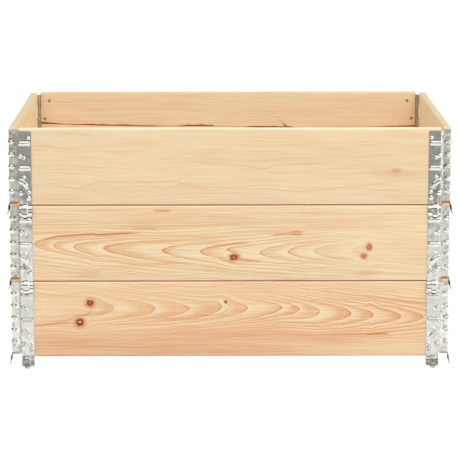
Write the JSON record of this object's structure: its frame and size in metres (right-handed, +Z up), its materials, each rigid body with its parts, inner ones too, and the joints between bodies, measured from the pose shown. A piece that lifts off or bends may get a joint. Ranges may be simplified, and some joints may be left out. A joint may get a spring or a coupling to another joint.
{
  "type": "pallet collar",
  "caption": "Stacked folding timber pallet collars: pine walls joined at the corners by galvanised hinges whose tongues drop over the collar or pallet below.",
  "frame": {"origin": "middle of the footprint, level with the tips of the lowest tongues, on which the stack stands", "axes": "+X along the long walls, +Y from the front wall to the back wall, +Z up"},
  "size_m": [1.2166, 0.8166, 0.6645],
  "materials": {
    "pine": "planed, unfinished",
    "galvanised_sheet": "hot-dip galvanised, dull",
    "pin_steel": "drawn wire, zinc",
    "rivet_steel": "zinc plated"
  },
  "bodies": {
    "lower_front_wall": {"lower_front_board": "pine", "lower_front_leaf_left": "galvanised_sheet", "lower_front_leaf_right": "galvanised_sheet", "lower_front_hinge_pins": "pin_steel", "lower_front_rivets": "rivet_steel"},
    "lower_back_wall": {"lower_back_board": "pine", "lower_back_leaf_left": "galvanised_sheet", "lower_back_leaf_right": "galvanised_sheet", "lower_back_hinge_pins": "pin_steel", "lower_back_rivets": "rivet_steel"},
    "lower_left_wall": {"lower_left_board": "pine", "lower_left_leaf_front": "galvanised_sheet", "lower_left_leaf_back": "galvanised_sheet", "lower_left_rivets": "rivet_steel"},
    "lower_right_wall": {"lower_right_board": "pine", "lower_right_leaf_front": "galvanised_sheet", "lower_right_leaf_back": "galvanised_sheet", "lower_right_rivets": "rivet_steel"},
    "middle_front_wall": {"middle_front_board": "pine", "middle_front_leaf_left": "galvanised_sheet", "middle_front_leaf_right": "galvanised_sheet", "middle_front_hinge_pins": "pin_steel", "middle_front_rivets": "rivet_steel"},
    "middle_back_wall": {"middle_back_board": "pine", "middle_back_leaf_left": "galvanised_sheet", "middle_back_leaf_right": "galvanised_sheet", "middle_back_hinge_pins": "pin_steel", "middle_back_rivets": "rivet_steel"},
    "middle_left_wall": {"middle_left_board": "pine", "middle_left_leaf_front": "galvanised_sheet", "middle_left_leaf_back": "galvanised_sheet", "middle_left_rivets": "rivet_steel"},
    "middle_right_wall": {"middle_right_board": "pine", "middle_right_leaf_front": "galvanised_sheet", "middle_right_leaf_back": "galvanised_sheet", "middle_right_rivets": "rivet_steel"},
    "upper_front_wall": {"upper_front_board": "pine", "upper_front_leaf_left": "galvanised_sheet", "upper_front_leaf_right": "galvanised_sheet", "upper_front_hinge_pins": "pin_steel", "upper_front_rivets": "rivet_steel"},
    "upper_back_wall": {"upper_back_top_board": "pine", "upper_back_bottom_board": "pine", "upper_back_leaf_left": "galvanised_sheet", "upper_back_leaf_right": "galvanised_sheet", "upper_back_hinge_pins": "pin_steel", "upper_back_rivets": "rivet_steel"},
    "upper_left_wall": {"upper_left_board": "pine", "upper_left_leaf_front": "galvanised_sheet", "upper_left_leaf_back": "galvanised_sheet", "upper_left_rivets": "rivet_steel"},
    "upper_right_wall": {"upper_right_board": "pine", "upper_right_leaf_front": "galvanised_sheet", "upper_right_leaf_back": "galvanised_sheet", "upper_right_rivets": "rivet_steel"}
  },
  "joints": [
    {"name": "lower_left_fold", "type": "hinge", "parent": "lower_front_wall", "child": "lower_left_wall", "pos_m": [-0.5755, -0.3755, 0.13725], "axis": [0, 0, 1], "range_deg": [-87, 87]},
    {"name": "lower_right_fold", "type": "hinge", "parent": "lower_front_wall", "child": "lower_right_wall", "pos_m": [0.5755, -0.3755, 0.13725], "axis": [0, 0, 1], "range_deg": [-87, 87]},
    {"name": "lower_back_fold", "type": "hinge", "parent": "lower_left_wall", "child": "lower_back_wall", "pos_m": [-0.5755, 0.3755, 0.13725], "axis": [0, 0, 1], "range_deg": [-87, 87]},
    {"name": "middle_lift", "type": "slide", "parent": "lower_front_wall", "child": "middle_front_wall", "axis": [0, 0, 1], "range_m": [0, 0.25]},
    {"name": "middle_left_fold", "type": "hinge", "parent": "middle_front_wall", "child": "middle_left_wall", "pos_m": [-0.5755, -0.3755, 0.34825], "axis": [0, 0, 1], "range_deg": [-87, 87]},
    {"name": "middle_right_fold", "type": "hinge", "parent": "middle_front_wall", "child": "middle_right_wall", "pos_m": [0.5755, -0.3755, 0.34825], "axis": [0, 0, 1], "range_deg": [-87, 87]},
    {"name": "middle_back_fold", "type": "hinge", "parent": "middle_left_wall", "child": "middle_back_wall", "pos_m": [-0.5755, 0.3755, 0.34825], "axis": [0, 0, 1], "range_deg": [-87, 87]},
    {"name": "upper_lift", "type": "slide", "parent": "middle_front_wall", "child": "upper_front_wall", "axis": [0, 0, 1], "range_m": [0, 0.25]},
    {"name": "upper_left_fold", "type": "hinge", "parent": "upper_front_wall", "child": "upper_left_wall", "pos_m": [-0.5755, -0.3755, 0.55925], "axis": [0, 0, 1], "range_deg": [-87, 87]},
    {"name": "upper_right_fold", "type": "hinge", "parent": "upper_front_wall", "child": "upper_right_wall", "pos_m": [0.5755, -0.3755, 0.55925], "axis": [0, 0, 1], "range_deg": [-87, 87]},
    {"name": "upper_back_fold", "type": "hinge", "parent": "upper_left_wall", "child": "upper_back_wall", "pos_m": [-0.5755, 0.3755, 0.55925], "axis": [0, 0, 1], "range_deg": [-87, 87]}
  ],
  "couplings": [
    {"joint": "lower_right_fold", "follows": "lower_left_fold", "ratio": 1},
    {"joint": "lower_back_fold", "follows": "lower_left_fold", "ratio": -1},
    {"joint": "middle_left_fold", "follows": "lower_left_fold", "ratio": 1},
    {"joint": "middle_right_fold", "follows": "lower_left_fold", "ratio": 1},
    {"joint": "middle_back_fold", "follows": "lower_left_fold", "ratio": -1},
    {"joint": "upper_left_fold", "follows": "lower_left_fold", "ratio": 1},
    {"joint": "upper_right_fold", "follows": "lower_left_fold", "ratio": 1},
    {"joint": "upper_back_fold", "follows": "lower_left_fold", "ratio": -1}
  ]
}
